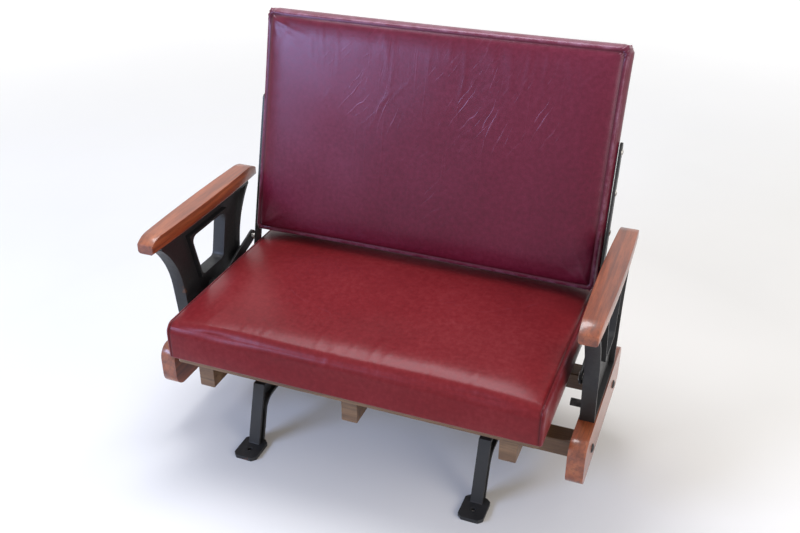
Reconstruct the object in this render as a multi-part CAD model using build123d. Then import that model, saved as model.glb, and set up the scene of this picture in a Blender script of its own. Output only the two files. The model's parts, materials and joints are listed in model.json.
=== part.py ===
from build123d import *
from math import asin, atan2, cos, degrees, radians, sin, sqrt
import os

# Reversible bench seat of a railway coach, for two people, in millimetres.
# X runs along the bench, Y from its front to its back and Z up from the floor.
# The origin lies on the floor, in the middle of the foot bolts.
# At rest the back leans towards +Y. It walks over to lean towards -Y.

# back and cushion
back_width = 940
back_height = 590          # along its slope
back_depth = 82
back_corner_radius = 20
back_edge = 7              # its bevel round both faces
back_lean = 15             # degrees from upright
back_foot_y = 190          # middle of the back's lower edge
back_foot_gap = 20         # from the cushion's top up to the back's lower edge, at its middle
cushion_width = 924
cushion_length = 600       # front to rear
cushion_height = 100
cushion_roll_radius = 27   # over its front and rear
cushion_foot_radius = 6

# timber underframe
board_width = 900
board_length = 570
board_thickness = 18
board_corner_radius = 12
bearer_width = 40
bearer_height = 67
bearer_length = 540
bearer_spacing = 380
rail_width = 50
rail_height = 45
rail_spacing = 260
timber_edge = 4

# cast-iron legs
leg_height = 165
leg_spacing = 600
leg_rim_width = 30
leg_rim = 8
leg_web = 9
leg_top_overhang = 10      # of the leg's top beyond the rails
leg_foot_width = 24        # of the casting's upright on each foot
leg_window_height = 112
leg_window_radius = 40
foot_spacing = 420
foot_length = 80
foot_width = 62
foot_thickness = 10
foot_corner = 10
foot_bolt_radius = 6
foot_washer_radius = 13
foot_washer_gap = 6        # between the bolt's washer and the leg's flange

# timber side sills and cast-iron standards
sill_length = 450
sill_height = 115
sill_thickness = 40
sill_drop_height = 25      # of its lower edge below the rails
sill_end_radius = 34
standard_width = 34
standard_rim = 8
standard_web = 8
standard_foot_half = 125
standard_waist_half = 140
standard_waist_height = 135   # above the sill
standard_head_half = 210
standard_height = 285         # sill to armrest
window_half_width = 82        # at its head
window_foot_half_width = 51
window_bottom_height = 128    # above the sill
window_margin = 34            # below the armrest
window_radius = 16
window_rim = 6
boss_wall = 8                 # round the pins
boss_root_length = 1          # of a boss into the web

# armrests
armrest_length = 500
armrest_width = 54
armrest_end_width = 42
armrest_thickness = 38
armrest_nose_drop = 14
armrest_nose_length = 42
armrest_edge = 5

# walk-over linkage
bar_thickness = 6
lever_drop_length = 90        # from the back's lower edge down to the lower pin
lever_tip_length = 23         # beyond the last screw
lever_pin_spacing = 60
lever_tip_radius = 11
eye_radius = 16
pin_radius = 7
pin_play = 0.08
pin_head_overhang = 4
pin_head_height = 2
pin_head_gap = 0.3
pin_end_gap = 4               # between a pin's end and the web
arm_pivot_height = 30         # above the sill
arm_hub_radius = 19
arm_pin_radius = 9
guide_hub_radius = 15
guide_eye_play = 2            # the guide link's upper eye floats on its pin
screw_radius = 3.5
screw_play = 0.3
screw_head_radius = 8
screw_head_height = 4
screw_places = (145, 243, 342)   # above the back's lower edge
stop_radius = 9
stop_pivot_spacing = 100

# clearances along X, from the back's side outwards
pad_gap = 0.3
arm_gap = 3
guide_gap = 5
standard_gap = 10
boss_gap = 2
touch_gap = 0.3

# heights
rail_bottom = leg_height
sill_bottom = rail_bottom - sill_drop_height
bearer_bottom = rail_bottom + rail_height
board_bottom = bearer_bottom + bearer_height
cushion_bottom = board_bottom + board_thickness
cushion_top = cushion_bottom + cushion_height
sill_top = sill_bottom + sill_height
armrest_bottom = sill_top + standard_height
back_foot_z = cushion_top + back_foot_gap

# layers along X
lever_inner = back_width / 2 + pad_gap
lever_outer = lever_inner + bar_thickness
arm_inner = lever_outer + arm_gap
arm_outer = arm_inner + bar_thickness
guide_inner = arm_outer + guide_gap
guide_outer = guide_inner + bar_thickness
standard_inner = guide_outer + standard_gap
standard_middle = standard_inner + standard_width / 2
web_inner = standard_middle - standard_web / 2
sill_inner = standard_middle - sill_thickness / 2

# the foot bolts stand clear of the legs' flanges
foot_bolt_y = foot_spacing / 2 + leg_rim + foot_washer_radius + foot_washer_gap

# the back's slope, and the pins that lie on it
slope_y = sin(radians(back_lean))
slope_z = cos(radians(back_lean))
lever_pin_y = back_foot_y - lever_drop_length * slope_y
lever_pin_z = back_foot_z - lever_drop_length * slope_z
guide_pin_y = lever_pin_y + lever_pin_spacing * slope_y
guide_pin_z = lever_pin_z + lever_pin_spacing * slope_z

# the arm turns about a pin in the middle of the standard
arm_pivot_z = sill_top + arm_pivot_height
arm_length = sqrt(lever_pin_y ** 2 + (lever_pin_z - arm_pivot_z) ** 2)
arm_angle = degrees(atan2(lever_pin_y, lever_pin_z - arm_pivot_z))

# The guide link's pivot lies above the arm's. Its height makes the link as long
# with the back upright as with the back at either end of its travel.
upright_length = arm_length + lever_pin_spacing
guide_rise = guide_pin_z - arm_pivot_z
guide_pivot_rise = (upright_length ** 2 - guide_pin_y ** 2 - guide_rise ** 2) / (
    2 * (upright_length - guide_rise))
guide_pivot_z = arm_pivot_z + guide_pivot_rise
guide_length = upright_length - guide_pivot_rise
guide_angle = degrees(atan2(guide_pin_y, guide_pin_z - guide_pivot_z))


def on_side(x, sketch, thickness):
    """A plate with its outline in Y and Z, from x outwards."""
    return extrude(Plane.YZ.offset(x) * sketch, amount=thickness)


def rod(x_from, x_to, y, z, radius):
    """A round bar along X."""
    return on_side(x_from, Pos(y, z) * Circle(radius), x_to - x_from)


def headed_pin(x_head, x_end, y, z, radius, head_radius):
    """A pin with a thin six-sided head just beyond x_head, on the side away from x_end."""
    away = 1 if x_head > x_end else -1
    x_top = x_head + away * pin_head_height
    shank = rod(min(x_head, x_end), max(x_head, x_end), y, z, radius)
    head = on_side(min(x_head, x_top), Pos(y, z) * RegularPolygon(head_radius, 6), pin_head_height)
    return shank + head


def tapered_bar(length, low_radius, high_radius):
    """The outline of a bar with round ends, upwards from its lower centre."""
    flare = asin((low_radius - high_radius) / length)
    low = (low_radius * cos(flare), low_radius * sin(flare))
    high = (high_radius * cos(flare), length + high_radius * sin(flare))
    flanks = Polygon(low, high, (-high[0], high[1]), (-low[0], low[1]), align=None)
    return Circle(low_radius) + Pos(0, length) * Circle(high_radius) + flanks


def leaning(y, z, angle, sketch):
    """A sketch set at a point and turned from upright towards +Y."""
    return Pos(y, z) * Rot(0, 0, -angle) * sketch


def rim_of(outline, thickness):
    """The band just inside an outline."""
    return outline - offset(outline, amount=-thickness)


def both_sides(solid):
    """The same shape at both ends of the bench: aisle side and wall side."""
    return {"aisle": solid, "wall": mirror(solid, about=Plane.YZ)}


def seat_cushion():
    """Its cover rolls over the front and the rear. The ends are flat panels."""
    end = Pos(0, cushion_bottom + cushion_height / 2) * Rectangle(cushion_length, cushion_height)
    feet = end.vertices().group_by(Axis.Y)[0]
    end = fillet(feet, cushion_foot_radius)
    tops = end.vertices().group_by(Axis.Y)[-1]
    end = fillet(tops, cushion_roll_radius)
    return on_side(-cushion_width / 2, end, cushion_width)


def back_pad():
    block = Box(back_width, back_depth, back_height,
                align=(Align.CENTER, Align.CENTER, Align.MIN))
    block = fillet(block.edges().filter_by(Axis.Y), back_corner_radius)
    faces = block.faces().sort_by(Axis.Y)
    block = chamfer(faces[0].edges() + faces[-1].edges(), back_edge)
    return Pos(0, back_foot_y, back_foot_z) * Rot(-back_lean, 0, 0) * block


def on_slope(height):
    """A point on the back's middle plane, as Y and Z, by its height along the slope."""
    return back_foot_y + height * slope_y, back_foot_z + height * slope_z


def back_lever():
    tip = lever_drop_length + screw_places[-1] + lever_tip_length - lever_tip_radius
    outline = tapered_bar(tip, eye_radius, lever_tip_radius)
    for place in screw_places:
        outline -= Pos(0, lever_drop_length + place) * Circle(screw_radius + screw_play)
    return on_side(lever_inner, leaning(lever_pin_y, lever_pin_z, back_lean, outline), bar_thickness)


def lever_screws():
    """Their shanks pass through the lever and end at the upholstery."""
    screws = []
    for place in screw_places:
        y, z = on_slope(place)
        shank = rod(back_width / 2, lever_outer, y, z, screw_radius)
        screws.append(shank + rod(lever_outer, lever_outer + screw_head_height, y, z, screw_head_radius))
    return Compound(screws)


def lever_pins():
    """Studs welded to the lever's face. The lower one carries the throw arm and the upper one
    the guide link, whose eye is wider."""
    head_radius = pin_radius + pin_head_overhang
    lower = headed_pin(arm_outer + pin_head_gap, lever_outer, lever_pin_y, lever_pin_z,
                       pin_radius, head_radius)
    upper = headed_pin(guide_outer + pin_head_gap, lever_outer, guide_pin_y, guide_pin_z,
                       pin_radius, head_radius + guide_eye_play)
    return Compound([lower, upper])


def throw_arm():
    outline = tapered_bar(arm_length, arm_hub_radius, eye_radius)
    outline -= Circle(arm_pin_radius + pin_play)
    outline -= Pos(0, arm_length) * Circle(pin_radius + pin_play)
    return on_side(arm_inner, leaning(0, arm_pivot_z, arm_angle, outline), bar_thickness)


def guide_link():
    outline = tapered_bar(guide_length, guide_hub_radius, eye_radius)
    outline -= Circle(pin_radius + pin_play)
    outline -= Pos(0, guide_length) * Circle(pin_radius + guide_eye_play)
    return on_side(guide_inner, leaning(0, guide_pivot_z, guide_angle, outline), bar_thickness)


def standard_outline():
    """Half of the casting's side view is drawn and mirrored. Its height starts at the sill."""
    foot = (standard_foot_half, 0)
    waist = (standard_waist_half, standard_waist_height)
    head_low = (standard_head_half, standard_height - standard_rim)
    corner = (standard_head_half, standard_height)
    side = Line(foot, waist)
    flare = TangentArc(waist, head_low, tangent=side % 1)
    edge = Line(head_low, corner)
    top = Line(corner, (0, standard_height))
    middle = Line((0, standard_height), (0, 0))
    base = Line((0, 0), foot)
    half = make_face([side, flare, edge, top, middle, base])
    return half + mirror(half, about=Plane.YZ)


def standard_window():
    """The opening under the armrest, narrower at its foot. Its corners are still sharp."""
    top = standard_height - window_margin
    return Polygon((window_foot_half_width, window_bottom_height), (window_half_width, top),
                   (-window_half_width, top), (-window_foot_half_width, window_bottom_height), align=None)


def standard():
    """A web between two flanged rims, with bosses for the two pivots."""
    outline = standard_outline()
    sharp_window = standard_window()
    window = fillet(sharp_window.vertices(), window_radius)
    window_frame = offset(sharp_window, amount=window_rim, kind=Kind.INTERSECTION) - window
    rims = Pos(0, sill_top) * (rim_of(outline, standard_rim) + window_frame)
    web = Pos(0, sill_top) * (outline - window)
    casting = on_side(standard_inner, rims, standard_width)
    casting += on_side(web_inner, web, standard_web)
    boss_end = web_inner + boss_root_length
    casting += rod(arm_outer + boss_gap, boss_end, 0, arm_pivot_z, arm_pin_radius + boss_wall)
    casting += rod(guide_outer + boss_gap, boss_end, 0, guide_pivot_z, pin_radius + boss_wall)
    casting -= rod(arm_inner, web_inner - pin_end_gap, 0, arm_pivot_z, arm_pin_radius)
    casting -= rod(guide_inner, web_inner - pin_end_gap, 0, guide_pivot_z, pin_radius)
    return casting


def stop_place(side):
    """The middle of a stop: under the resting arm, by half the arm's width there."""
    share = stop_pivot_spacing / arm_length
    half_width = arm_hub_radius + (eye_radius - arm_hub_radius) * share
    below = half_width + touch_gap + stop_radius
    along_y = sin(radians(arm_angle))
    along_z = cos(radians(arm_angle))
    y = stop_pivot_spacing * along_y + below * along_z
    z = arm_pivot_z + stop_pivot_spacing * along_z - below * along_y
    return side * y, z


def throw_stops():
    """Round bars from the standard's web to the throw arm."""
    return Compound([rod(arm_inner, web_inner, *stop_place(side), stop_radius) for side in (-1, 1)])


def arm_pin():
    return headed_pin(arm_inner - pin_head_gap, web_inner - pin_end_gap, 0, arm_pivot_z,
                      arm_pin_radius, arm_pin_radius + pin_head_overhang)


def guide_pin():
    return headed_pin(guide_inner - pin_head_gap, web_inner - pin_end_gap, 0, guide_pivot_z,
                      pin_radius, pin_radius + pin_head_overhang)


def side_sill():
    outline = RectangleRounded(sill_length, sill_height, sill_end_radius)
    return on_side(sill_inner, Pos(0, sill_bottom + sill_height / 2) * outline, sill_thickness)


def armrest():
    """A plank with bowed sides, its ends rounded over and dropped."""
    half_length = armrest_length / 2
    half_width = armrest_width / 2
    half_end = armrest_end_width / 2
    outer = ThreePointArc((half_end, -half_length), (half_width, 0), (half_end, half_length))
    inner = ThreePointArc((-half_end, half_length), (-half_width, 0), (-half_end, -half_length))
    ends = [Line((half_end, half_length), (-half_end, half_length)),
            Line((-half_end, -half_length), (half_end, -half_length))]
    plan = make_face([outer, ends[0], inner, ends[1]])
    top = armrest_thickness
    nose_top = top - armrest_nose_drop
    shoulder = half_length - armrest_nose_length
    profile = make_face([
        Line((-half_length, 0), (half_length, 0)),
        Line((half_length, 0), (half_length, nose_top)),
        TangentArc((shoulder, top), (half_length, nose_top), tangent=(1, 0)),
        Line((shoulder, top), (-shoulder, top)),
        TangentArc((-shoulder, top), (-half_length, nose_top), tangent=(-1, 0)),
        Line((-half_length, nose_top), (-half_length, 0))])
    plank = extrude(plan, amount=top)
    plank &= extrude(Plane.YZ * profile, amount=armrest_width, both=True)
    long_edges = plank.edges().filter_by(GeomType.CIRCLE).group_by(SortBy.LENGTH)[-1]
    plank = chamfer(long_edges, armrest_edge)
    return Pos(standard_middle, 0, armrest_bottom) * plank


def rail(side):
    bar = Box(2 * sill_inner, rail_width, rail_height, align=(Align.CENTER, Align.CENTER, Align.MIN))
    bar = chamfer(bar.edges().filter_by(Axis.X), timber_edge / 2)
    return Pos(0, side * rail_spacing / 2, rail_bottom) * bar


def bearers():
    bar = Box(bearer_width, bearer_length, bearer_height, align=(Align.CENTER, Align.CENTER, Align.MIN))
    bar = chamfer(bar.edges().filter_by(Axis.Y), timber_edge / 2)
    return Compound([Pos(x, 0, bearer_bottom) * bar for x in (-bearer_spacing, 0, bearer_spacing)])


def cushion_board():
    board = Box(board_width, board_length, board_thickness,
                align=(Align.CENTER, Align.CENTER, Align.MIN))
    board = fillet(board.edges().filter_by(Axis.Z), board_corner_radius)
    return Pos(0, 0, board_bottom) * board


def leg_outline():
    """A splayed trestle with straight flanks and a wide opening. The feet's pads are added apart."""
    half_top = rail_spacing / 2 + rail_width / 2 + leg_top_overhang
    half_foot = foot_spacing / 2 + leg_rim
    outline = Polygon((-half_foot, 0), (half_foot, 0), (half_top, leg_height),
                      (-half_top, leg_height), align=None)
    half_low = foot_spacing / 2 - leg_foot_width
    half_high = half_low - (half_foot - half_top) * leg_window_height / leg_height
    window = Polygon((-half_low, 0), (half_low, 0), (half_high, leg_window_height),
                     (-half_high, leg_window_height), align=None)
    return outline - fillet(window.vertices().group_by(Axis.Y)[-1], leg_window_radius)


def leg(side):
    outline = leg_outline()
    casting = on_side(-leg_rim_width / 2, rim_of(outline, leg_rim), leg_rim_width)
    casting += on_side(-leg_web / 2, outline, leg_web)
    pad = Rectangle(foot_width, foot_length)
    pad = extrude(chamfer(pad.vertices(), foot_corner), amount=foot_thickness)
    for end in (-1, 1):
        casting += Pos(0, end * (foot_spacing / 2 + foot_length / 4), 0) * pad
        casting -= Pos(0, end * foot_bolt_y, 0) * Cylinder(foot_bolt_radius, leg_height)
    return Pos(side * leg_spacing / 2, 0, 0) * casting


def write(name, solid):
    export_step(solid, f"parts/{name}.step")


os.makedirs("parts", exist_ok=True)
write("seat_cushion", seat_cushion())
write("back_pad", back_pad())
write("cushion_board", cushion_board())
write("cushion_bearers", bearers())
for name, side in (("front", -1), ("rear", 1)):
    write(f"{name}_rail", rail(side))
for name, side in (("wall", -1), ("aisle", 1)):
    write(f"{name}_leg", leg(side))
end_pieces = {
    "side_sill": side_sill,
    "standard": standard,
    "armrest": armrest,
    "arm_pin": arm_pin,
    "guide_pin": guide_pin,
    "throw_stops": throw_stops,
    "throw_arm": throw_arm,
    "guide_link": guide_link,
    "back_lever": back_lever,
    "lever_pins": lever_pins,
    "lever_screws": lever_screws,
}
for piece, make in end_pieces.items():
    for end, solid in both_sides(make()).items():
        write(f"{end}_{piece}", solid)
print(f"arm {arm_angle:.3f} deg, {arm_length:.2f} mm; guide {guide_angle:.3f} deg, {guide_length:.2f} mm")
print(f"pivots at z {arm_pivot_z:.2f} and {guide_pivot_z:.2f}, lever pin at {lever_pin_y:.2f}, {lever_pin_z:.2f}")
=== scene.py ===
import bmesh
import bpy
import json
import math
import numpy as np
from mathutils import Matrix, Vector


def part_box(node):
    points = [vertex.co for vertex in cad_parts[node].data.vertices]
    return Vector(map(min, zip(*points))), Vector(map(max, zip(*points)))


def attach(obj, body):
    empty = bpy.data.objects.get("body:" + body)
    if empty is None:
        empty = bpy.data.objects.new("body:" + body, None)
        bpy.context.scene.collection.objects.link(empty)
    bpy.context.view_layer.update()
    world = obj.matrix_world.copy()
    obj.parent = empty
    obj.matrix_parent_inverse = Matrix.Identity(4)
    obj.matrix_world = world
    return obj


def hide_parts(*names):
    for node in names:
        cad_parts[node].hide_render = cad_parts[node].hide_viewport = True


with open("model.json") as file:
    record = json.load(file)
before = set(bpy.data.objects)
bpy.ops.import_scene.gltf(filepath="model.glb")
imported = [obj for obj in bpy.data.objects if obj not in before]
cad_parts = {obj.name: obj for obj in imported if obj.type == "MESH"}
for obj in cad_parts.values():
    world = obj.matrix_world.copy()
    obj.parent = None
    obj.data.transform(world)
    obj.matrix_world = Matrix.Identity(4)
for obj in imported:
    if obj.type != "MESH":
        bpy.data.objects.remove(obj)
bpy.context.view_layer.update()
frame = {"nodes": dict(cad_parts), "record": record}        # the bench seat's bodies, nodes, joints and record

scene = bpy.context.scene
mm = 0.001
mergeReach = 1e-6        # metres between points that become one
print("frame loaded:", len(frame["nodes"]), "nodes")


# making of meshes

def newMesh(name, points, faces, rim=None, merged=True):
    # Faces point outwards. rim is each point's distance inside its seam, for the leather's painted seam shade
    # and its edge paled by wear and painted sheen.
    mesh = bpy.data.meshes.new(name)
    mesh.from_pydata(np.asarray(points).reshape(-1, 3), [], faces)
    if rim is not None:
        mesh.attributes.new("rim", "FLOAT", "POINT").data.foreach_set("value", rim.astype(np.float32))
    work = bmesh.new()
    work.from_mesh(mesh)
    if merged:
        bmesh.ops.remove_doubles(work, verts=work.verts, dist=mergeReach)
    bmesh.ops.recalc_face_normals(work, faces=work.faces)
    work.to_mesh(mesh)
    work.free()
    return mesh


def newObject(name, data):
    made = bpy.data.objects.new(name, data)
    scene.collection.objects.link(made)
    return made


def newPiece(name, points, faces, material, sharpAngle=None, rim=None):
    # one object at the origin, with its place in its mesh and smooth shading
    mesh = newMesh(name, points, faces, rim)
    mesh.shade_smooth()
    if sharpAngle:
        mesh.set_sharp_from_angle(angle=math.radians(sharpAngle))
    mesh.materials.append(material)
    return newObject(name, mesh)


def meshPoints(mesh):
    points = np.empty(len(mesh.vertices) * 3)
    mesh.vertices.foreach_get("co", points)
    return points.reshape(-1, 3)


def gridQuads(index):
    # the four corners of every cell of a grid of point numbers
    cells = np.stack([index[:-1, :-1], index[1:, :-1], index[1:, 1:], index[:-1, 1:]], -1)
    return cells.reshape(-1, 4)


def nodeSpan(name, axes):
    # a node's lowest and highest reach along each of three axes, and its points along them
    along = meshPoints(frame["nodes"][name].data) @ np.transpose(axes)
    return along.min(0), along.max(0), along


# finishes

def addNode(tree, kind, inputs=None, settings=None):
    made = tree.nodes.new("ShaderNode" + kind)
    for key, value in (settings or {}).items():
        setattr(made, key, value)
    for key, value in (inputs or {}).items():
        if isinstance(value, bpy.types.NodeSocket):
            tree.links.new(value, made.inputs[key])
        else:
            made.inputs[key].default_value = value
    return made


def maths(tree, operation, first, second=0.0, third=0.0):
    return addNode(tree, "Math", {0: first, 1: second, 2: third}, {"operation": operation}).outputs[0]


def product(tree, first, *others):
    for other in others:
        first = maths(tree, "MULTIPLY", first, other)
    return first


def vectorMaths(tree, operation, first, second=(0, 0, 0)):
    made = addNode(tree, "VectorMath", {0: first, 1: second}, {"operation": operation})
    return made.outputs["Value" if operation == "LENGTH" else "Vector"]


def mapRange(tree, value, fromMin=0.0, fromMax=1.0, toMin=0.0, toMax=1.0, kind="LINEAR"):
    inputs = {"Value": value, "From Min": fromMin, "From Max": fromMax, "To Min": toMin, "To Max": toMax}
    return addNode(tree, "MapRange", inputs, {"interpolation_type": kind}).outputs[0]


def ramp(tree, factor, stops):
    # a colour for each place from 0 to 1, or a grey level where a stop is one number
    made = addNode(tree, "ValToRGB", {"Fac": factor})
    elements = made.color_ramp.elements
    while len(elements) < len(stops):
        elements.new(0.5)
    for element, (place, colour) in zip(elements, stops):
        element.position = place
        element.color = (*colour, 1) if isinstance(colour, tuple) else (colour, colour, colour, 1)
    return made.outputs["Color"]


def mixed(tree, factor, first, second, blend="MIX"):
    first, second = [(*colour, 1) if isinstance(colour, tuple) else colour for colour in (first, second)]
    inputs = {0: factor, 6: first, 7: second}
    return addNode(tree, "Mix", inputs, {"data_type": "RGBA", "blend_type": blend}).outputs[2]


def placed(tree, scale=(1, 1, 1), turn=(0, 0, 0)):
    # object coordinates in metres, turned, then scaled
    coordinates = addNode(tree, "TexCoord").outputs["Object"]
    rotated = addNode(tree, "Mapping", {"Vector": coordinates, "Rotation": turn})
    return vectorMaths(tree, "MULTIPLY", rotated.outputs[0], scale)


def noise(tree, vector, scale, detail=3.0, rough=0.5):
    inputs = {"Vector": vector, "Scale": scale, "Detail": detail, "Roughness": rough}
    return addNode(tree, "TexNoise", inputs).outputs["Fac"]


def patterned(tree, vector, pattern):
    # a ramp over one noise, from the noise's numbers and the ramp's stops
    numbers, stops = pattern
    return ramp(tree, noise(tree, vector, *numbers), stops)


def newFinish(name, sockets):
    made = bpy.data.materials.new(name)
    made.use_nodes = True
    tree = made.node_tree
    shader = tree.nodes["Principled BSDF"]
    for key, value in sockets.items():
        shader.inputs[key].default_value = value
    return made, tree, shader


def roughened(tree, factor, middle, shifts, fromMin=0.0, fromMax=1.0):
    # from the first shift off the middle to the second
    return mapRange(tree, factor, fromMin, fromMax, middle + shifts[0], middle + shifts[1])


def finished(tree, shader, colour, rough, heights):
    # links colour and roughness, and stacks bumps of (height, distance in metres, strength),
    # the coarse ones first
    tree.links.new(colour, shader.inputs["Base Color"])
    if rough is not None:
        tree.links.new(rough, shader.inputs["Roughness"])
    normal = None
    for height, distance, strength in heights:
        inputs = {"Height": height, "Distance": distance, "Strength": strength}
        if normal:
            inputs["Normal"] = normal
        normal = addNode(tree, "Bump", inputs).outputs["Normal"]
    tree.links.new(normal, shader.inputs["Normal"])


# In the finishes a noise is its scale, detail and roughness, and a bump is its height and strength.
leather = {
    "toneStops": (0.30, 0.50, 0.70), "cloud": (2.6, 3), "mottle": (95, 4, 0.6),
    "sockets": {"Roughness": 0.30, "Sheen Weight": 0.05, "Sheen Roughness": 0.4}, "shifts": (-0.05, 0.07),
    "grainScale": 620, "grainBump": (0.10 * mm, 0.5),
    # stretch lines run down the slope
    "stretchScale": (110, 4, 5), "stretch": ((1, 2), [(0.60, 0.0), (0.72, 1.0)]),
    "stretchTint": 0.16, "stretchBump": (0.10 * mm, 0.6),
    # the creases' pale colour is painted highlight along them
    "creaseHighlightColour": (0.36, 0.15, 0.24), "creaseHighlightTint": 0.26, "creaseBump": (0.45 * mm, 0.8),
    # painted shade: a thin dark line in the seam, partly dirt, and a soft one over the valley; the edge
    # outside paled by wear and painted sheen
    "paintedSeamShade": (0.036, 0.003, 0.005), "fullPaintedShadeReach": 0.2 * mm,
    "paintedShadeBands": ((7.5 * mm, 0.42), (1.4 * mm, 0.40)),
    "wornSheenReach": 24 * mm, "wornSheenColour": (0.34, 0.18, 0.26),
    "wornSheenStops": [(0.25, 0.0), (0.60, 1.0), (0.72, 1.0), (0.90, 0.0)],
    "wornSheenPatches": ((38, 5, 0.7), [(0.42, 0.12), (0.66, 1.0)]),
}
# a patch of creases is whole within heart times its spread; width and rise are of the wave's level
crease = {
    "scale": (6, 54, 54), "wave": (1, 1.5, 0.4), "width": 0.024, "step": 0.12, "rise": 0.012, "heart": 0.25,
    "bendScale": 9.0, "bendDepth": (0.035, 0.035, 0.035),
    "breaks": ((13, 3, 0.6), [(0.47, 0.0), (0.66, 1.0)]),
}


def creasePatch(tree, here, plane, centre, spread, angle, strength):
    # Strokes along one flank of a slow noise, drawn out along the crease, where it passes its middle
    # level. They are bent and broken up by two other noises and die away from the patch's centre.
    local = vectorMaths(tree, "MULTIPLY", vectorMaths(tree, "SUBTRACT", here, centre), plane)
    away = vectorMaths(tree, "LENGTH", local)
    patch = mapRange(tree, away, spread, spread * crease["heart"])
    inputs = {"Vector": local, "Scale": crease["bendScale"], "Detail": 1.0}
    bend = addNode(tree, "TexNoise", inputs).outputs["Color"]
    bend = vectorMaths(tree, "SUBTRACT", bend, (0.5, 0.5, 0.5))
    bend = vectorMaths(tree, "MULTIPLY", bend, crease["bendDepth"])
    local = vectorMaths(tree, "ADD", local, bend)
    turn = (0, angle, 0) if plane[2] else (0, 0, angle)
    rotated = addNode(tree, "Mapping", {"Vector": local, "Rotation": turn}).outputs[0]
    drawn = vectorMaths(tree, "MULTIPLY", rotated, crease["scale"])
    wave = noise(tree, drawn, *crease["wave"])
    offset = tuple(crease["step"] * flat for flat in (0, plane[1], plane[2]))
    beyond = noise(tree, vectorMaths(tree, "ADD", drawn, offset), *crease["wave"])
    rise = mapRange(tree, maths(tree, "SUBTRACT", beyond, wave), 0.0, crease["rise"])
    ridge = maths(tree, "ABSOLUTE", maths(tree, "SUBTRACT", wave, 0.5))
    line = product(tree, ramp(tree, ridge, [(0.0, 1.0), (crease["width"], 0.0)]), rise)
    broken = patterned(tree, rotated, crease["breaks"])
    return product(tree, patch, strength, broken, line)


def leatherFinish(name, kind):
    # satin leathercloth: fine mottling, pebbled grain, stretch lines and patches of slanting creases paled by
    # painted highlight, painted shade in the seam and over its valley, and the edge outside it paled in
    # patches by wear and painted sheen
    made, tree, shader = newFinish(name, {**leather["sockets"], **kind["sockets"]})
    turn = (kind["lean"], 0, 0)
    here = placed(tree, turn=turn)
    mottled = noise(tree, here, *leather["mottle"])
    cloudy = noise(tree, here, *leather["cloud"])
    tone = maths(tree, "MULTIPLY_ADD", cloudy, 0.5, product(tree, mottled, 0.5))
    colour = ramp(tree, tone, list(zip(leather["toneStops"], kind["colours"])))
    lines = patterned(tree, placed(tree, leather["stretchScale"], turn), leather["stretch"])
    creases = None
    for patch in kind["creases"]:
        one = creasePatch(tree, here, kind["plane"], *patch)
        creases = one if creases is None else maths(tree, "MAXIMUM", creases, one)
    colour = mixed(tree, product(tree, lines, leather["stretchTint"]), colour, kind["colours"][2])
    # painted highlight: the crease strokes are paled
    colour = mixed(tree, product(tree, creases, leather["creaseHighlightTint"]), colour, leather["creaseHighlightColour"])
    rim = addNode(tree, "Attribute", None, {"attribute_name": "rim"}).outputs["Fac"]
    # the edge outside the seam is paled in patches: partly wear, partly painted sheen, most on the back's top
    # band
    outer = ramp(tree, mapRange(tree, rim, -leather["wornSheenReach"], 0.0), leather["wornSheenStops"])
    patchy = patterned(tree, here, leather["wornSheenPatches"])
    colour = mixed(tree, product(tree, outer, patchy, kind["wearAndSheen"]), colour, leather["wornSheenColour"])
    # painted shade: the colour darkens toward the seam line and over its valley, by the rim's distance from
    # the seam
    fromSeam = maths(tree, "ABSOLUTE", rim)
    for reach, shade in leather["paintedShadeBands"]:
        dark = mapRange(tree, fromSeam, reach, leather["fullPaintedShadeReach"], toMax=shade, kind="SMOOTHSTEP")
        colour = mixed(tree, dark, colour, leather["paintedSeamShade"])
    rough = roughened(tree, mottled, leather["sockets"]["Roughness"], leather["shifts"])
    inputs = {"Vector": here, "Scale": leather["grainScale"]}
    pebbles = addNode(tree, "TexVoronoi", inputs).outputs["Distance"]
    finished(tree, shader, colour, rough, [(lines, *leather["stretchBump"]),
             (creases, *leather["creaseBump"]), (pebbles, *leather["grainBump"])])
    return made


wood = {
    "bandScale": (9.0, 0.9, 9.0), "bands": (4.0, 4, 0.55), "bandStops": (0.32, 0.50, 0.68),
    "streakScale": (120, 3.5, 120), "streaks": (1, 4, 0.65), "streakStops": [(0.34, 0.66), (0.52, 1.0)],
    "streakBump": (0.35 * mm, 0.35),
    "poreScale": (900, 45, 900), "pores": (1, 2, 0.5), "poreStops": [(0.36, 0.55), (0.46, 1.0)],
    "poreShade": 0.6, "poreBump": (0.12 * mm, 0.5),
    "sockets": {"Roughness": 0.35, "Coat Roughness": 0.16}, "shifts": (0.46, 0.62), "glossEvens": 0.2,
}


def woodFinish(name, colours, turn, gloss):
    # grain runs along y before the turn: wide bands of growth, dark streaks and short pores
    made, tree, shader = newFinish(name, {**wood["sockets"], "Coat Weight": gloss})
    bands = noise(tree, placed(tree, wood["bandScale"], turn), *wood["bands"])
    streaks = noise(tree, placed(tree, wood["streakScale"], turn), *wood["streaks"])
    pores = noise(tree, placed(tree, wood["poreScale"], turn), *wood["pores"])
    colour = ramp(tree, bands, list(zip(wood["bandStops"], colours)))
    colour = mixed(tree, 1.0, colour, ramp(tree, streaks, wood["streakStops"]), "MULTIPLY")
    colour = mixed(tree, wood["poreShade"], colour, ramp(tree, pores, wood["poreStops"]), "MULTIPLY")
    rough = roughened(tree, bands, -wood["glossEvens"] * gloss, wood["shifts"])
    finished(tree, shader, colour, rough, [(streaks, *wood["streakBump"]), (pores, *wood["poreBump"])])
    return made


iron = {
    "broad": (9, 4, 0.6), "fine": (75, 5, 0.7), "broadShare": 0.6, "chipStops": [(0.635, 0.0), (0.665, 1.0)],
    "grit": (420, 3, 0.6), "broadBump": (1.5 * mm, 0.3), "chipBump": (-0.12 * mm, 0.5), "gritStrength": 0.6,
    "shifts": (-0.1, 0.2), "roughFrom": (0.35, 0.65),
}


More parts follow.
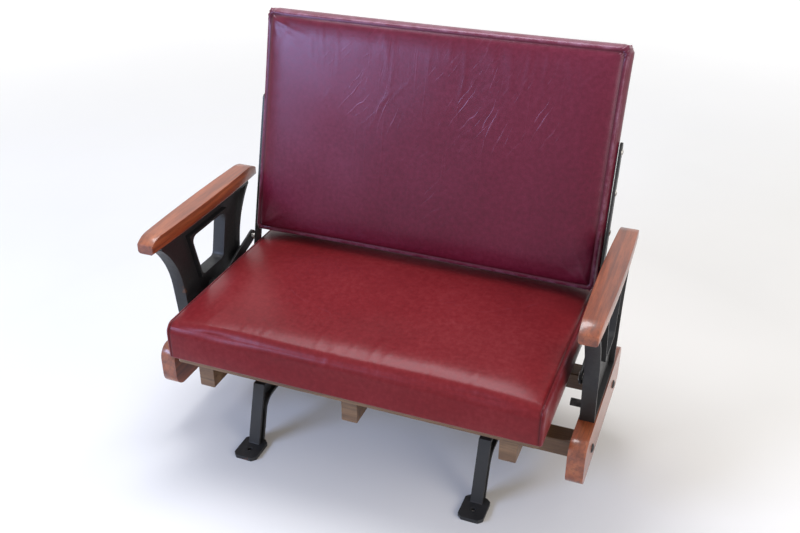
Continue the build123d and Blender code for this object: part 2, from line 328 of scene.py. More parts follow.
def ironFinish(name, paint, rust, lumps, roughness):
    # black paint over cast or forged iron, brown where it has chipped
    made, tree, shader = newFinish(name, {"Roughness": roughness})
    here = placed(tree)
    broad = noise(tree, here, *iron["broad"])
    fine = noise(tree, here, *iron["fine"])
    chips = maths(tree, "ADD", product(tree, broad, iron["broadShare"]),
                  product(tree, fine, 1 - iron["broadShare"]))
    bare = ramp(tree, chips, iron["chipStops"])
    rough = roughened(tree, chips, roughness, iron["shifts"], *iron["roughFrom"])
    grit = noise(tree, here, *iron["grit"])
    finished(tree, shader, mixed(tree, bare, paint, rust), rough, [(broad, *iron["broadBump"]),
             (bare, *iron["chipBump"]), (grit, lumps, iron["gritStrength"])])
    return made


steel = {
    "stains": (60, 4, 0.6), "stainStops": (0.40, 0.60), "stainShade": 0.45, "shifts": (0.15, -0.1),
    "scratches": (500, 2), "scratchBump": (0.05 * mm, 0.6),
}


def steelFinish(name, colour, roughness):
    # bare steel, darker and duller where it is stained
    made, tree, shader = newFinish(name, {"Roughness": roughness, "Metallic": 1.0})
    here = placed(tree)
    stains = noise(tree, here, *steel["stains"])
    stained = tuple(steel["stainShade"] * c for c in colour)
    tint = ramp(tree, stains, list(zip(steel["stainStops"], (stained, colour))))
    rough = roughened(tree, stains, roughness, steel["shifts"])
    scratches = noise(tree, here, *steel["scratches"])
    finished(tree, shader, tint, rough, [(scratches, *steel["scratchBump"])])
    return made


rubber = {
    "dust": (90, 4, 0.6), "dustStops": [(0.35, (0.012, 0.011, 0.011)), (0.7, (0.05, 0.045, 0.042))],
    "bump": (0.2 * mm, 0.5), "sockets": {"Roughness": 0.75},
}


def rubberFinish(name):
    # dull black rubber, grey with dust
    made, tree, shader = newFinish(name, rubber["sockets"])
    dust = noise(tree, placed(tree), *rubber["dust"])
    finished(tree, shader, ramp(tree, dust, rubber["dustStops"]), None, [(dust, *rubber["bump"])])
    return made


backLean = math.radians(15)
slant = math.radians(57)  # of the back's creases
# creases are patches of centre, spread, turn and strength, spread out on the plane
backLeather = {
    "colours": ((0.078, 0.003, 0.012), (0.112, 0.006, 0.020), (0.145, 0.012, 0.031)),
    "creases": [((-0.21, 0, 0.90), 0.15, slant - 0.14, 1.0), ((-0.14, 0, 0.85), 0.13, slant + 0.22, 0.8),
                ((0.08, 0, 0.90), 0.16, slant - 0.05, 1.0), ((0.14, 0, 0.85), 0.15, slant + 0.20, 1.0),
                ((0.27, 0, 0.88), 0.13, slant + 0.05, 0.9), ((0.02, 0, 0.66), 0.20, slant - 0.2, 0.3)],
    "plane": (1, 0, 1), "lean": backLean, "wearAndSheen": 0.45,
    "sockets": {"Specular IOR Level": 0.36, "Specular Tint": (0.90, 0.80, 1.0, 1),
                "Sheen Tint": (0.90, 0.80, 1.0, 1)},
}
cushionLeather = {
    "colours": ((0.115, 0.006, 0.008), (0.160, 0.010, 0.013), (0.205, 0.020, 0.023)),
    "creases": [((-0.22, -0.06, 0), 0.19, 0.5, 0.3), ((0.23, 0.02, 0), 0.20, -0.6, 0.3)],
    "plane": (1, 1, 0), "lean": 0.0, "wearAndSheen": 0.30,
    "sockets": {"Specular IOR Level": 0.22, "Specular Tint": (1.0, 0.80, 0.86, 1),
                "Sheen Tint": (1.0, 0.80, 0.86, 1)},
}
varnished = ((0.14, 0.028, 0.010), (0.25, 0.058, 0.019), (0.37, 0.102, 0.034))
timber = ((0.10, 0.048, 0.022), (0.165, 0.085, 0.040), (0.225, 0.128, 0.064))
finishes = {
    "back_leather": leatherFinish("backLeather", backLeather),
    "cushion_leather": leatherFinish("cushionLeather", cushionLeather),
    "varnished_wood": woodFinish("varnishedWood", varnished, (0, 0, 0), 0.6),
    "underframe_timber": woodFinish("underframeTimber", timber, (0, 0, math.pi / 2), 0.15),
    "black_iron": ironFinish("blackIron", (0.012, 0.012, 0.013), (0.085, 0.035, 0.018), 0.28 * mm, 0.45),
    "black_steel": ironFinish("blackSteel", (0.015, 0.015, 0.016), (0.16, 0.13, 0.11), 0.06 * mm, 0.38),
    "bare_steel": steelFinish("bareSteel", (0.52, 0.50, 0.47), 0.34),
    "stop_rubber": rubberFinish("stopRubber"),
}
print("finishes made:", len(finishes))


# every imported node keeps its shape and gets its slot's finish, with its edges eased

easing = {
    "widths": {"varnished_wood": 1.6 * mm, "underframe_timber": 1.0 * mm, "black_iron": 1.5 * mm,
               "black_steel": 0.8 * mm, "bare_steel": 0.5 * mm, "stop_rubber": 0.6 * mm},
    "weldReach": 1e-5, "steps": 2, "angle": math.radians(40),
}
slotOf = {part["node"]: part["material_slot"] for part in frame["record"]["subparts"]}
for name, piece in frame["nodes"].items():
    slot = slotOf[name]
    piece.data.materials.clear()
    piece.data.materials.append(finishes[slot])
    if slot in easing["widths"]:
        weld = piece.modifiers.new("weld", "WELD")
        weld.merge_threshold = easing["weldReach"]
        ease = piece.modifiers.new("ease", "BEVEL")
        ease.width = easing["widths"][slot]
        ease.segments = easing["steps"]
        ease.limit_method = "ANGLE"
        ease.angle_limit = easing["angle"]
        ease.harden_normals = False
print("packed nodes finished")


# the padded back and cushion

edgeTurns = 5            # steps round the edge of a pad's face


def spacedLines(half, inset, spacing):
    # places from -half to half: given distances in from both ends, then even
    inset = np.asarray(inset)
    count = max(2, round(2 * (half - inset[-1]) / spacing))
    middle = np.linspace(-half + inset[-1], half - inset[-1], count + 1)
    return np.concatenate([-half + inset[:-1], middle, (half - inset[:-1])[::-1]])


def padLines(half, edge, beside, spacing):
    # across a face: by equal turns round its edge, close together beside the seam, then even
    turns = edge * (1 - np.sin(np.linspace(math.pi / 2, 0, edgeTurns + 1)))
    return spacedLines(half, np.concatenate([turns, beside]), spacing)


def outlineWalk(lastA, lastB):
    # the numbers of a grid's outer points, once round
    walkA = [np.arange(lastA), np.full(lastB, lastA), np.arange(lastA, 0, -1), np.zeros(lastB, int)]
    walkB = [np.zeros(lastA, int), np.arange(lastB), np.full(lastA, lastB), np.arange(lastB, 0, -1)]
    return np.concatenate(walkA), np.concatenate(walkB)


def padShape(half, edge, corners, lineA, lineB, lineD):
    # A rounded box in its own axes a, b and d: a grid for each face across d, and one for the band
    # between them. rho is the distance in from the outline. Round the edge the face's height is
    # d = halfD - edge + sqrt(edge² - (edge - rho)²). Corners draw squares of side reach into arcs.
    a, b = np.meshgrid(lineA, lineB, indexing="ij")
    rho = np.minimum(half[0] - abs(a), half[1] - abs(b))
    corner = np.where(b > 0, corners[0], corners[1])
    overA = np.clip(abs(a) - half[0] + corner, 0, None)
    overB = np.clip(abs(b) - half[1] + corner, 0, None)
    spread = np.hypot(overA, overB)
    safe = np.where(spread > 0, spread, 1)
    pull = np.where(spread > 0, np.maximum(overA, overB) / safe, 1)
    roundA = np.sign(a) * (abs(a) - overA * (1 - pull))
    roundB = np.sign(b) * (abs(b) - overB * (1 - pull))
    outward = np.stack([np.sign(a) * overA / safe, np.sign(b) * overB / safe, 0 * a], -1)
    lean = np.clip((edge - rho) / edge, 0, 1)
    upright = np.sqrt(1 - lean ** 2)
    height = half[2] - edge + edge * upright
    sides = np.array([-1, 1]).reshape(2, 1, 1)
    faces = np.stack([np.broadcast_to(roundA, (2, *a.shape)), np.broadcast_to(roundB, (2, *a.shape)),
                      sides * height], -1)
    normals = outward * lean[..., None] + np.stack([0 * sides, 0 * sides, sides], -1) * upright[..., None]
    walk = outlineWalk(len(lineA) - 1, len(lineB) - 1)
    loop = faces[0][walk]
    band = np.broadcast_to(loop, (len(lineD), *loop.shape)).copy()
    band[..., 2] = lineD[:, None]
    steps = np.linalg.norm(np.roll(loop, -1, 0) - loop, axis=1)
    around = np.concatenate([[0], np.cumsum(steps)]) / steps.sum()
    return {"a": a, "b": b, "rho": rho, "lean": lean, "faces": faces, "normals": normals, "band": band,
            "outward": outward[walk], "walk": walk, "around": around, "lines": (lineA, lineB, lineD)}


def padMesh(pad):
    # the points of both faces, then the band's inner rings, and the quads that join them
    facePoints = pad["faces"].reshape(-1, 3)
    count = pad["a"].size
    first = np.arange(count).reshape(pad["a"].shape)
    second = first + count
    inner = pad["band"][1:-1]
    rings = 2 * count + np.arange(inner[..., 0].size).reshape(inner.shape[:2])
    rings = np.vstack([first[pad["walk"]], rings, second[pad["walk"]]])
    closed = np.hstack([rings, rings[:, :1]])
    quads = np.concatenate([gridQuads(first), gridQuads(second), gridQuads(closed)])
    return np.concatenate([facePoints, inner.reshape(-1, 3)]), quads


def regrid(field, old, new, axis):
    # linear interpolation of a grid of vectors from old to new places along one axis
    low = np.clip(np.searchsorted(old, new) - 1, 0, len(old) - 2)
    share = np.clip((new - old[low]) / (old[low + 1] - old[low]), 0, 1)
    share = share.reshape([-1 if k == axis else 1 for k in range(field.ndim)])
    return np.take(field, low, axis) * (1 - share) + np.take(field, low + 1, axis) * share


def calmed(field, axes, passes):
    # each inner point becomes a quarter of its neighbours and half of itself
    for _ in range(passes):
        for axis in axes:
            moved = np.moveaxis(field, axis, 0)
            moved[1:-1] = (moved[:-2] + 2 * moved[1:-1] + moved[2:]) / 4
    return field


# the covers' simulated cloth, apart from each pad's own numbers
cover = {
    "settings": {"quality": 6, "mass": 0.4, "use_pressure": True, "uniform_pressure_force": 4.0,
                 "shrink_min": -0.006, "shrink_max": -0.006, "vertex_group_mass": "seams"},
    "shearShare": 3, "frames": 20, "rimStep": 6 * mm, "pinnedEdge": 1.2,
}


def puff(name, pad, fixed, cloth):
    # Cloth blown up by air pressure between its fixed seams. Gives how far each point of the
    # coarse pad moved, held under a cap: cap tanh(length / cap).
    points, quads = padMesh(pad)
    balloon = newObject(name, newMesh(name, points, quads, merged=False))
    pins = balloon.vertex_groups.new(name="seams")
    pins.add([int(i) for i in np.flatnonzero(fixed)], 1.0, "REPLACE")
    modifier = balloon.modifiers.new("cloth", "CLOTH")
    for key, value in cover["settings"].items():
        setattr(modifier.settings, key, value)
    modifier.settings.tension_stiffness = cloth["stretch"]
    modifier.settings.compression_stiffness = cloth["stretch"]
    modifier.settings.shear_stiffness = cloth["stretch"] / cover["shearShare"]
    modifier.settings.bending_stiffness = cloth["bend"]
    modifier.settings.effector_weights.gravity = 0
    modifier.collision_settings.use_collision = False
    modifier.point_cache.frame_start = 1
    modifier.point_cache.frame_end = cover["frames"]
    for step in range(1, cover["frames"] + 1):
        scene.frame_set(step)
    blown = balloon.evaluated_get(bpy.context.evaluated_depsgraph_get()).data
    moved = meshPoints(blown) - points
    bpy.data.objects.remove(balloon)
    scene.frame_set(1)
    length = np.linalg.norm(moved, axis=1, keepdims=True)
    return moved * cloth["cap"] * np.tanh(length / cloth["cap"]) / np.maximum(length, 1e-9)


def simulated(name, half, edge, corners, lines, fixedWhere, cloth):
    # the cloth's movement on the fine grids: from the coarse grids by interpolation, then smoothed
    beside = [edge + step * mm for step in cloth["beside"]]
    coarseLines = [padLines(h, edge, beside, cloth["spacing"]) for h in half[:2]]
    coarseLines.append(spacedLines(half[2] - edge, [0, cover["rimStep"]], cloth["spacing"]))
    coarse = padShape(half, edge, corners, *coarseLines)
    fine = padShape(half, edge, corners, *lines)
    moved = puff(name, coarse, fixedWhere(coarse), cloth)
    count = coarse["a"].size
    faceMove = moved[:2 * count].reshape(coarse["faces"].shape)
    bandMove = np.zeros_like(coarse["band"])
    bandMove[1:-1] = moved[2 * count:].reshape(bandMove[1:-1].shape)
    bandMove = np.concatenate([bandMove, bandMove[:, :1]], 1)
    for axis in (1, 2):
        faceMove = regrid(faceMove, coarse["lines"][axis - 1], lines[axis - 1], axis)
    bandMove = regrid(bandMove, coarse["lines"][2], lines[2], 0)
    bandMove = regrid(bandMove, coarse["around"], fine["around"][:-1], 1)
    fine["faces"] = fine["faces"] + calmed(faceMove, (1, 2), cloth["calm"])
    fine["band"] = fine["band"] + calmed(bandMove, (0, 1), cloth["calm"])
    print(name, "simulated: up to", round(float(abs(moved).max() / mm), 1), "mm")
    return fine


def seamPins(coarse, edge):
    # what the thread holds on both faces
    return np.tile((coarse["rho"] < edge * cover["pinnedEdge"]).ravel(), 2)


wander = {"share": 0.04, "waves": 4, "shift": 40, "fade": 0.7}  # of a fold from a straight line
swellWaves = 7


def folds(a, b, marks):
    # Adds up folds: depth exp(-(across / width)²), fading to nothing at both ends of each one.
    # A skewed fold leans: one flank rises while the other falls.
    height = np.zeros_like(a)
    for startA, startB, angle, length, width, depth, skew in marks:
        alongA, alongB = math.cos(angle), math.sin(angle)
        along = (a - startA) * alongA + (b - startB) * alongB
        across = (b - startB) * alongA - (a - startA) * alongB
        turns = np.sin(along / length * wander["waves"] + startA * wander["shift"])
        across = across + wander["share"] * length * turns
        middle = np.clip(along / length, 0, 1)
        fade = np.sin(math.pi * middle) ** wander["fade"]
        height += depth * fade * np.exp(-(across / width) ** 2) * (1 + skew * across / width)
    return height


def foldSize(chance, kind):
    # one fold's length, width, depth and skew, drawn in that order from its kind's ranges
    *sizes, skew = [chance.uniform(*reach) for reach in kind["sizes"]]
    return (*[size * mm for size in sizes], skew)


def drawnIn(points, half, depth):
    # The outline pulls in between its corners: depth (a / halfA)⁴ (1 - (b / halfB)²), and across.
    share = points / half
    points = points.copy()
    for axis in (0, 1):
        along, across = share[:, axis], share[:, 1 - axis]
        points[:, axis] -= depth * np.sign(along) * along ** 4 * np.clip(1 - across ** 2, 0, 1)
    return points


def swell(a, b, chance, size, height):
    # slow unevenness: a sum of cosine waves of random direction, from one to two sizes long
    total = np.zeros_like(a)
    for _ in range(swellWaves):
        direction = chance.uniform(0, math.pi)
        wave = 2 * math.pi / (size * chance.uniform(1, 2))
        phase = chance.uniform(0, 6.3)
        total += np.cos(wave * (a * math.cos(direction) + b * math.sin(direction)) + phase)
    return height * total / swellWaves


back = {
    "crown": 6.0 * mm, "crownShare": 0.55, "crownReach": 60 * mm, "edge": 10.0 * mm, "corner": 20 * mm,
    "beside": [d * mm for d in (10.7, 11.4, 12.0, 12.6, 13.2, 13.9, 14.8, 16, 17.4, 19, 20.8, 22.8, 25, 27.5,
                                31)],
    "spacing": 4.6 * mm, "swell": (150 * mm, 1.0 * mm), "pullIn": 2.2 * mm,
    "seamAt": 12.3 * mm, "valleyWidth": 5.6 * mm, "valleyDepth": 1.5 * mm,
    "lineWidth": 1.2 * mm, "lineDepth": 0.25 * mm, "settleReach": 10 * mm,
    "pocketDepth": 1.3, "pocketReach": 21 * mm, "pocketPaintedShade": 0.6,  # of the seam at the corners, where its painted shade spreads
    "bandLines": 19, "bandBulge": 5.5 * mm, "footBulge": 1.5 * mm, "paleTopSheen": 0.8,
    "pleat": {"height": 3.8 * mm, "at": 11.2 * mm, "reach": 34 * mm, "drop": 0.5 * mm, "middle": 0.35,
              "tipHeight": 3.9 * mm, "tipWidth": 6.0 * mm, "tipBefore": 4 * mm, "foot": 0.5},
    "gather": {"height": 1.35 * mm, "width": 11.5 * mm, "reach": 20 * mm, "inward": 27 * mm, "phase": 0.9,
               "lean": 0.25, "band": 0.9, "foot": 0.6},  # foot is the share at the pad's foot
    # the sizes of folds are ranges of length, width and depth in millimetres and of skew
    "cornerFolds": {"count": 5, "inward": (0.25, 1.25), "start": (14, 26), "startB": (0.8, 1.3),
                    "sizes": ((45, 130), (4.5, 7.5), (0.4, 0.9), (-0.6, 0.6))},
    "hangingFolds": {"count": 26, "reach": (-0.96, 0.96), "start": 14 * mm, "turn": (-0.1, 0.1),
                     "sizes": ((50, 210), (3.5, 6), (0.12, 0.38), (-0.8, 0.8))},
    "creases": {"count": 11, "centres": ((-0.17, 0.08), (0.13, 0.06), (0.27, 0.10)), "spread": (42, 36),
                "turn": (0.75, 1.15), "sizes": ((35, 105), (3.0, 4.2), (0.10, 0.22), (-1, 1))},
    "seed": 11,
    "cloth": {"beside": (6,), "spacing": 13 * mm, "stretch": 18.0, "bend": 0.6, "cap": 9 * mm, "calm": 10},
}


def slopeAxes():
    # along the bench, up the back's slope, and through the back from front to rear
    sine, cosine = math.sin(backLean), math.cos(backLean)
    return np.array([(1, 0, 0), (0, sine, cosine), (0, cosine, -sine)])


def backMarks(half, chance):
    # corner folds slant in from each corner, hanging folds run down from the top seam,
    # and slanting creases gather where shoulders rub
    marks = []
    kind = back["cornerFolds"]
    for signA in (-1, 1):
        for signB in (-1, 1):
            for _ in range(kind["count"]):
                inward = chance.uniform(*kind["inward"])
                start = chance.uniform(*kind["start"]) * mm
                startB = start * chance.uniform(*kind["startB"])
                turn = math.atan2(-signB * math.sin(inward), -signA * math.cos(inward))
                marks.append((signA * (half[0] - start), signB * (half[1] - startB), turn,
                              *foldSize(chance, kind)))
    kind = back["hangingFolds"]
    for _ in range(kind["count"]):
        marks.append((chance.uniform(*kind["reach"]) * half[0], half[1] - kind["start"],
                      -math.pi / 2 + chance.uniform(*kind["turn"]), *foldSize(chance, kind)))
    kind = back["creases"]
    for centre in kind["centres"]:
        for _ in range(kind["count"]):
            placeA, placeB = [middle + chance.normal(0, spread) * mm
                              for middle, spread in zip(centre, kind["spread"])]
            marks.append((placeA, placeB, chance.uniform(*kind["turn"]), *foldSize(chance, kind)))
    return marks


def pleat(tau, depth, half, edge):
    # A lapped fold over each corner: along the outline it climbs by t² (3 - 2 t) to its place and drops
    # there by 1 / (1 + exp(t)). It is highest at the two face edges, and its tip stands up at them.
    its = back["pleat"]
    climb = np.clip((tau + its["reach"]) / (its["at"] + its["reach"]), 0, 1)
    drop = 1 / (1 + np.exp(np.clip((tau - its["at"]) / its["drop"], -40, 40)))
    atEdge = np.clip(abs(depth) / (half - edge), 0, 1) ** 2
    lap = its["height"] * climb ** 2 * (3 - 2 * climb) * drop * (its["middle"] + (1 - its["middle"]) * atEdge)
    tip = np.exp(-((tau - its["at"] + its["tipBefore"]) / its["tipWidth"]) ** 2)
    return lap + its["tipHeight"] * tip * drop * atEdge ** 4


def gather(tau, inward, shift):
    # Small pleats drawn round a corner: height cos(2 pi (tau - shift) / width) exp(-(tau / reach)²),
    # fading to nothing inward from the outline.
    its = back["gather"]
    wave = np.cos(2 * math.pi * (tau - shift) / its["width"] + its["phase"])
    fade = np.clip(1 - inward / its["inward"], 0, 1)
    return its["height"] * wave * np.exp(-(tau / its["reach"]) ** 2) * fade


def dressBackFaces(pad, half, tau, chance):
    # Crown t (2 - t) inwards from the seam, folds and pleats of both faces, and the seam: a soft valley
    # and a thin line in it, depth exp(-(gap / width)²) each, deeper at the corners. Gives their rim, narrowed
    # at the corners so that the painted seam shade spreads there.
    gap = pad["rho"] - back["seamAt"]
    inner = np.clip(gap / back["crownReach"], 0, 1)
    crown = back["crown"] * back["crownShare"] * inner * (2 - inner)
    gapA = np.clip(half[0] - back["seamAt"] - abs(pad["a"]), 0, None)
    gapB = np.clip(half[1] - back["seamAt"] - abs(pad["b"]), 0, None)
    pocket = np.exp(-(np.hypot(gapA, gapB) / back["pocketReach"]) ** 2)
    valley = back["valleyDepth"] * np.exp(-(gap / back["valleyWidth"]) ** 2)
    seam = -valley * (1 + back["pocketDepth"] * pocket)
    seam = seam - back["lineDepth"] * np.exp(-(gap / back["lineWidth"]) ** 2)
    settle = np.clip(gap / back["settleReach"], 0, 1)
    gathers = np.where(pad["b"] > 0, 1.0, back["gather"]["foot"])
    pleats = np.where(pad["b"] > 0, 1.0, back["pleat"]["foot"])
    for side in (0, 1):
        marks = folds(pad["a"], pad["b"], backMarks(half, chance))
        uneven = swell(pad["a"], pad["b"], chance, *back["swell"]) * inner
        puckers = gather(tau, pad["rho"], back["gather"]["lean"] * pad["rho"]) * gathers
        raised = crown + seam + marks * settle + uneven + puckers
        pad["faces"][side] += pad["normals"][side] * raised[..., None]
        onEdge = pleat(tau, pad["faces"][side, ..., 2], half[2], back["edge"]) * pad["lean"] ** 2 * pleats
        pad["faces"][side, ..., :2] += (pad["normals"][side] * onEdge[..., None])[..., :2]
    # the rim is narrowed near the corners, so the painted seam shade spreads into a dark pocket there
    return gap * (1 - back["pocketPaintedShade"] * pocket)


def dressBackBand(pad, half, tau):
    # The band bulges by bulge (1 - (depth / flat)²) and carries the corners' pleats. Gives its rim, which
    # pales the whole top band with the edge colour: painted sheen, partly wear.
    tau = tau[pad["walk"]]
    depth = pad["lines"][2][:, None]
    flat = half[2] - back["edge"]
    pleats = np.where(pad["b"][pad["walk"]] > 0, 1.0, back["pleat"]["foot"])
    most = np.where(pad["outward"][:, 1] < -0.5, back["footBulge"], back["bandBulge"])
    bulge = most * (1 - (depth / flat) ** 2) + pleats * pleat(tau, depth, half[2], back["edge"])
    bulge = bulge + pleats * gather(tau, back["gather"]["band"] * (flat - abs(depth)), 0)
    pad["band"] += pad["outward"] * bulge[..., None]
    onTop = np.clip(pad["outward"][:, 1], 0, 1)  # the whole top band takes the pale edge colour: painted sheen, partly wear
    return -back["seamAt"] - (flat - abs(depth)) * (1 - back["paleTopSheen"] * onTop)


def makeBack():
    # in its own axes: a along the bench, b up the slope, d through the pad from front to rear
    axes = slopeAxes()
    low, high, _ = nodeSpan("back_pad", axes)
    low = low + (back["bandBulge"], back["footBulge"], back["crown"])
    high = high - (back["bandBulge"], back["bandBulge"], back["crown"])
    half = (high - low) / 2
    edge = back["edge"]
    lines = [padLines(h, edge, back["beside"], back["spacing"]) for h in half[:2]]
    lines.append((half[2] - edge) * np.sin(np.linspace(-math.pi / 2, math.pi / 2, back["bandLines"])))

    def fixedWhere(coarse):
        # the seams, and the whole of the band between them
        return np.concatenate([seamPins(coarse, edge), np.ones(coarse["band"][1:-1, :, 0].size, bool)])

    corners = (back["corner"], back["corner"])
    pad = simulated("backPadCloth", half, edge, corners, lines, fixedWhere, back["cloth"])
    chance = np.random.default_rng(back["seed"])
    tau = (half[0] - abs(pad["a"])) - (half[1] - abs(pad["b"]))  # along the outline from its corner
    faceRim = dressBackFaces(pad, half, tau, chance)
    bandRim = dressBackBand(pad, half, tau)
    points, quads = padMesh(pad)
    points = drawnIn(points, half, back["pullIn"]) + (low + high) / 2
    rim = np.concatenate([np.tile(faceRim.ravel(), 2), bandRim[1:-1].ravel()])
    piece = newPiece("backPad", points @ axes, quads, finishes["back_leather"], rim=rim)
    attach(piece, "back")
    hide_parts("back_pad")
    return piece


backPiece = makeBack()
print("back made:", len(backPiece.data.polygons), "faces")


cushion = {
    "crown": 11 * mm, "crownRoom": 11 * mm / 5, "domeShare": 0.35, "domeReach": 120 * mm,
    "edge": 5.0 * mm, "roll": 27 * mm, "foot": 6 * mm, "spacing": 5.0 * mm,
    "beside": [d * mm for d in (7, 9.5, 12.5, 16, 19, 22.5, 26)],
    "besideSeam": [d * mm for d in (0, 1.2, 2.4, 3.6, 5, 6.6, 8.6, 11, 14, 18)],
    "seamAt": 2.6 * mm, "seamWidth": 1.8 * mm, "seamDepth": 1.9 * mm,
    "endBulge": 3.0 * mm, "endReach": 45 * mm, "endSwell": (90 * mm, 0.6 * mm), "swell": (170 * mm, 1.6 * mm),
    "settleFrom": 6 * mm, "settleReach": 20 * mm, "freeReach": 25 * mm, "pinnedFoot": 1.5,
    "rollFolds": {"count": 26, "reach": (-0.95, 0.95), "start": (4, 14), "turn": (-0.25, 0.25),
                  "sizes": ((40, 110), (5, 8), (0.3, 0.8), (-0.6, 0.6))},
    "seatFolds": {"count": 30, "places": [-0.22, 0.22], "reach": (60, 190), "flatten": 0.8,
                  "turn": (1.0, 2.1), "sizes": ((30, 90), (4, 6.5), (0.2, 0.5), (-1, 1))},
    "seed": 5,
    "cloth": {"beside": (6, 14, 23), "spacing": 14 * mm, "stretch": 16.0, "bend": 0.8, "cap": 10 * mm,
              "calm": 30},
}


def cushionMarks(half, chance):
    # short folds over the front and rear rolls, and creases round the two places that are sat on
    marks = []
    kind = cushion["rollFolds"]
    for _ in range(kind["count"]):
        sign = chance.choice([-1, 1])
        place = chance.uniform(*kind["reach"]) * half[2]
        start = sign * (half[0] - chance.uniform(*kind["start"]) * mm)
        turn = -sign * (math.pi / 2 + chance.uniform(*kind["turn"]))
        marks.append((place, start, turn, *foldSize(chance, kind)))
    kind = cushion["seatFolds"]
    for _ in range(kind["count"]):
        place = chance.choice(kind["places"])
        turn = chance.uniform(0, 2 * math.pi)
        reach = chance.uniform(*kind["reach"]) * mm
        marks.append((place + reach * math.cos(turn), reach * kind["flatten"] * math.sin(turn),
                      turn + chance.uniform(*kind["turn"]), *foldSize(chance, kind)))
    return marks


def dressCushionBand(pad, half, chance):
    # The cover from seam to seam: a dome crown t (2 - t) (1 - (y / halfY)⁴), t from its ends inwards, the
    # seams, folds and unevenness, all fading out where it rests on the board. Gives its rim.
    x = pad["lines"][2][:, None] + 0 * pad["band"][..., 0]
    y = pad["band"][..., 0]
    upward = np.clip(pad["outward"][:, 1], 0, 1)
    gap = half[2] - cushion["edge"] - abs(x)
    seam = -cushion["seamDepth"] * np.exp(-((gap - cushion["seamAt"]) / cushion["seamWidth"]) ** 2)
    settle = np.clip((gap - cushion["settleFrom"]) / cushion["settleReach"], 0, 1)
    free = np.clip((pad["band"][..., 1] + half[1]) / cushion["freeReach"], 0, 1)
    rise = np.clip(gap / cushion["domeReach"], 0, 1)
    domed = cushion["crown"] * cushion["domeShare"] * upward * rise * (2 - rise) * (1 - (y / half[0]) ** 4)
    raised = domed + seam * free + folds(x, y, cushionMarks(half, chance)) * settle * free
    raised = raised + swell(x, y, chance, *cushion["swell"]) * settle * free
    pad["band"][1:-1] += (pad["outward"] * raised[..., None])[1:-1]
    return gap - cushion["seamAt"]


def makeCushion():
    # in its own axes: a from front to rear, b upwards, d along the bench, so its faces are the end panels
    axes = np.array([(0, 1, 0), (0, 0, 1), (1, 0, 0)])
    low, high, _ = nodeSpan("seat_cushion", axes)
    half = (high - low) / 2
    half[1] -= cushion["crownRoom"]
    half[2] -= cushion["endBulge"]
    centre = (low + high) / 2
    centre[1] = low[1] + half[1]
    edge = cushion["edge"]
    lines = [padLines(h, edge, cushion["beside"], cushion["spacing"]) for h in half[:2]]
    lines.append(spacedLines(half[2] - edge, cushion["besideSeam"], cushion["spacing"]))

    def fixedWhere(coarse):
        # the end seams, and what rests on the board
        rings = coarse["band"][1:-1, :, 1].ravel() < -half[1] + cushion["foot"] * cushion["pinnedFoot"]
        return np.concatenate([seamPins(coarse, edge), rings])

    corners = (cushion["roll"], cushion["foot"])
    pad = simulated("cushionCloth", half, edge, corners, lines, fixedWhere, cushion["cloth"])
    chance = np.random.default_rng(cushion["seed"])
    inner = np.clip(pad["rho"] / cushion["endReach"], 0, 1)
    for side in (0, 1):      # the end panels bulge by t (2 - t) inwards from their outline
        raised = cushion["endBulge"] * inner * (2 - inner)
        raised = raised + swell(pad["a"], pad["b"], chance, *cushion["endSwell"]) * inner
        pad["faces"][side] += pad["normals"][side] * raised[..., None]
    bandRim = dressCushionBand(pad, half, chance)
    faceRim = np.tile(-cushion["seamAt"] - pad["rho"].ravel(), 2)
    rim = np.concatenate([faceRim, bandRim[1:-1].ravel()])
    points, quads = padMesh(pad)
    piece = newPiece("seatCushion", (points + centre) @ axes, quads, finishes["cushion_leather"], rim=rim)
    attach(piece, "seat_frame")
    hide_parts("seat_cushion")
    return piece


cushionPiece = makeCushion()
print("cushion made:", len(cushionPiece.data.polygons), "faces")


# screws and bolts

ends = (("aisle", 1), ("wall", -1))
fasteners = {
    "slottedHead": [(0, 0), (0, 8.0), (0.9, 8.0), (2.0, 7.3), (3.0, 5.6), (3.7, 3.0), (4.0, 0)],
    "squareHead": [(0, 0), (0, 8.0), (1.2, 8.0), (1.2, 6.2), (5.6, 6.2), (6.4, 5.0), (6.4, 0)],
    "coachHead": [(0, 0), (0, 11.0), (1.0, 11.0), (2.6, 9.6), (4.0, 6.4), (4.6, 3.0), (4.8, 0)],
    "slotSteps": 56, "slotHalf": 1.3 * mm, "slotFrom": 0.3, "slotDepth": 0.35,
    "screwGap": 30 * mm, "footPlaces": (-0.092, 0.092), "armrestPlaces": (-0.165, 0.165),
    "flange": 8 * mm, "besideWeb": 10.5 * mm, "besideLeg": 9.8 * mm, "sharpAngle": 35, "screwSharpAngle": 30,
}


def turned(head, centre, axis, sides=0, slotHalf=0.0, steps=40):
    # A profile of (along, radius) in millimetres turned about an axis. With sides, its radius follows
    # a polygon: r cos(pi / n) / cos((t mod 2 pi / n) - pi / n). A slot is a groove cut across its end.
    along, radius = np.transpose(fasteners[head]) * mm
    angle = np.linspace(0, 2 * math.pi, steps, endpoint=False)
    shape = np.ones(steps)
    if sides:
        wedge = 2 * math.pi / sides
        shape = math.cos(wedge / 2) / np.cos(angle % wedge - wedge / 2)
    across = radius[:, None] * shape * np.cos(angle)
    up = radius[:, None] * shape * np.sin(angle)
    out = np.repeat(along[:, None], steps, 1)
    if slotHalf:
        inSlot = (abs(across) < slotHalf) & (out > along.max() * fasteners["slotFrom"])
        out = np.where(inSlot, out - along.max() * fasteners["slotDepth"], out)
    axis = np.asarray(axis, float)
    side = np.cross(axis, (0, 0, 1) if abs(axis[2]) < 0.9 else (0, 1, 0))
    side /= np.linalg.norm(side)
    third = np.cross(axis, side)
    points = np.asarray(centre) + out[..., None] * axis + across[..., None] * side + up[..., None] * third
    index = np.arange(points.shape[0] * steps).reshape(-1, steps)
    return points.reshape(-1, 3), gridQuads(np.hstack([index, index[:, :1]]))


